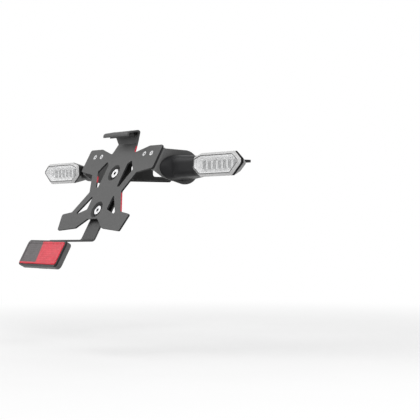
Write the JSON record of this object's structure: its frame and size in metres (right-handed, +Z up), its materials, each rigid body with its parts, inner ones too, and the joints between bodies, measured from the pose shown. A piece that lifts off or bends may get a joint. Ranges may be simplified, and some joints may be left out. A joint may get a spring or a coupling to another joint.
{
  "type": "motorbike tail tidy",
  "caption": "Folded number-plate holder on an arm that bolts under a motorbike's tail, with stalk indicators, a plate lamp under a visor and a rear reflector on a folded strip.",
  "frame": {"origin": "middle of the bolt pattern, on the top face of the bolt plate that meets the underside of the tail", "axes": "+Y forward along the bike, +Z up out of the bolt plate into the tail, +X to the rider's right"},
  "size_m": [0.428, 0.2722, 0.16],
  "materials": {
    "black_coat": "satin powder coat",
    "bright_steel": "bright zinc",
    "black_rubber": "matte",
    "black_plastic": "fine grain",
    "silver_reflector": "mirror",
    "circuit_board": "matte",
    "clear_lens": "clear, gloss",
    "red_lens": "gloss"
  },
  "bodies": {
    "root": {"plate_holder": "black_coat", "bracket_rivets": "bright_steel", "main_bracket": "black_coat", "holder_screws": "bright_steel", "holder_nuts": "bright_steel", "upper_spacer": "bright_steel", "plate_lamp_body": "black_plastic", "plate_lamp_board": "circuit_board", "plate_lamp_lens": "clear_lens", "plate_lamp_screws": "bright_steel", "reflector_bracket": "black_coat", "reflector_housing": "black_plastic", "reflector_lens": "red_lens", "reflector_washer": "bright_steel", "reflector_nut": "bright_steel", "left_indicator_bracket": "black_coat", "left_indicator_stem": "black_rubber", "left_indicator_stud": "bright_steel", "left_indicator_washer": "bright_steel", "left_indicator_nut": "bright_steel", "left_indicator_housing": "black_plastic", "left_indicator_tray": "silver_reflector", "left_indicator_board": "circuit_board", "left_indicator_lens": "clear_lens", "right_indicator_bracket": "black_coat", "right_indicator_stem": "black_rubber", "right_indicator_stud": "bright_steel", "right_indicator_washer": "bright_steel", "right_indicator_nut": "bright_steel", "right_indicator_housing": "black_plastic", "right_indicator_tray": "silver_reflector", "right_indicator_board": "circuit_board", "right_indicator_lens": "clear_lens"}
  },
  "joints": []
}
